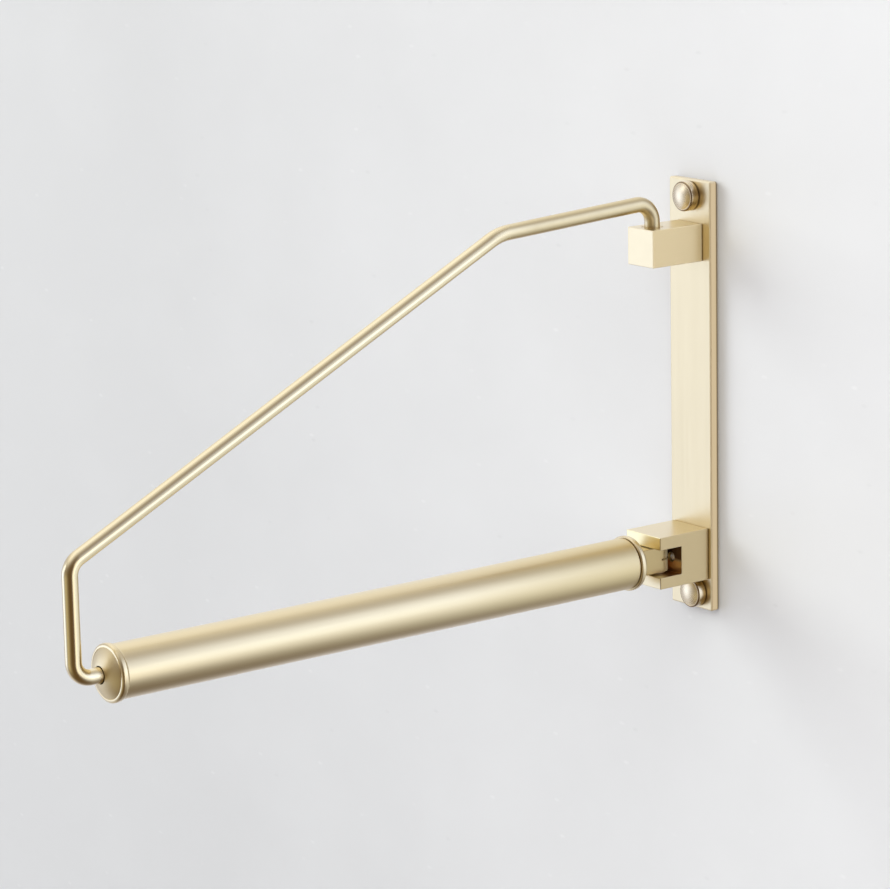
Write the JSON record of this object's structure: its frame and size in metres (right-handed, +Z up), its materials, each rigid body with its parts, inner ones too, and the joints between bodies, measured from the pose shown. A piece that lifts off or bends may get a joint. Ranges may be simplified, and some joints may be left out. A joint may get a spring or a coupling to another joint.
{
  "type": "swivel wall clothes rail",
  "caption": "Wall-mounted brass clothes rail: a round rail braced by a bent rod swings on a vertical axis between blocks on a flat wall plate.",
  "frame": {"origin": "middle of the wall plate's flat back face", "axes": "+X to the right along the wall seen from the room, +Y into the wall, +Z up; the arm points to -Y"},
  "size_m": [0.032, 0.393, 0.228],
  "materials": {
    "satin_brass": "satin",
    "cap_metal": "satin",
    "steel": "satin",
    "bronze": "satin"
  },
  "bodies": {
    "wall_bracket": {"wall_plate": "satin_brass", "upper_block": "satin_brass", "upper_bush": "bronze", "upper_block_screw_1": "steel", "upper_block_screw_2": "steel", "lower_clevis": "satin_brass", "clevis_screw_1": "steel", "clevis_screw_2": "steel", "upper_jaw_bush": "bronze", "lower_jaw_bush": "bronze", "thrust_washer": "bronze", "pin_plug": "steel", "upper_wall_screw": "steel", "lower_wall_screw": "steel", "upper_cap_ring": "satin_brass", "lower_cap_ring": "satin_brass", "upper_screw_cap": "cap_metal", "lower_screw_cap": "cap_metal"},
    "swing_arm": {"swivel_tongue": "satin_brass", "pivot_pin": "steel", "inner_end_cap": "satin_brass", "tongue_bolt": "steel", "lock_washer": "steel", "rail_tube": "satin_brass", "outer_end_cap": "satin_brass", "rod_socket": "satin_brass", "cross_pin": "steel", "brace_rod": "satin_brass"}
  },
  "joints": [
    {"name": "arm_swivel", "type": "hinge", "parent": "wall_bracket", "child": "swing_arm", "pos_m": [0, -0.031, -0.0832], "axis": [0, 0, 1], "range_deg": [-90, 90]}
  ]
}
